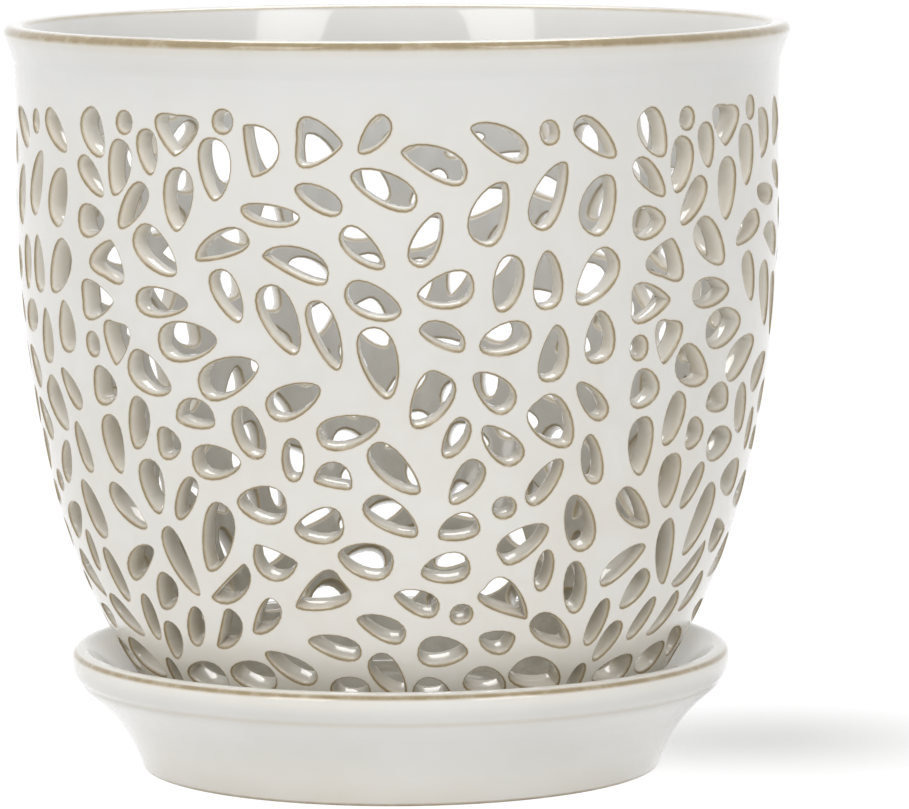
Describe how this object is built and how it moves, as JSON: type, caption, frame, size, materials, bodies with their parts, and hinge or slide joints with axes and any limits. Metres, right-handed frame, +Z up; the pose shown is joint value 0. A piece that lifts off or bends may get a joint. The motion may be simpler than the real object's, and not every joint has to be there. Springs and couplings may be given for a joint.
{
  "type": "orchid pot with saucer",
  "caption": "Round glazed ceramic orchid pot, its rounded wall pierced all over with petal-shaped air slots, with a flared lip, standing loose in a low dished saucer.",
  "frame": {"origin": "centre of the saucer's underside, on the pot's axis, at the level that rests on the table", "axes": "+Z up along the pot's axis, -Y towards the front of the picture, +X to its right"},
  "size_m": [0.16, 0.16, 0.1526],
  "materials": {
    "pot_glaze": "gloss",
    "saucer_glaze": "gloss"
  },
  "bodies": {
    "saucer": {"saucer": "saucer_glaze"},
    "pot": {"pot": "pot_glaze"}
  },
  "joints": [
    {"name": "pot_lift", "type": "slide", "parent": "saucer", "child": "pot", "axis": [0, 0, 1], "range_m": [0, 0.1]}
  ]
}
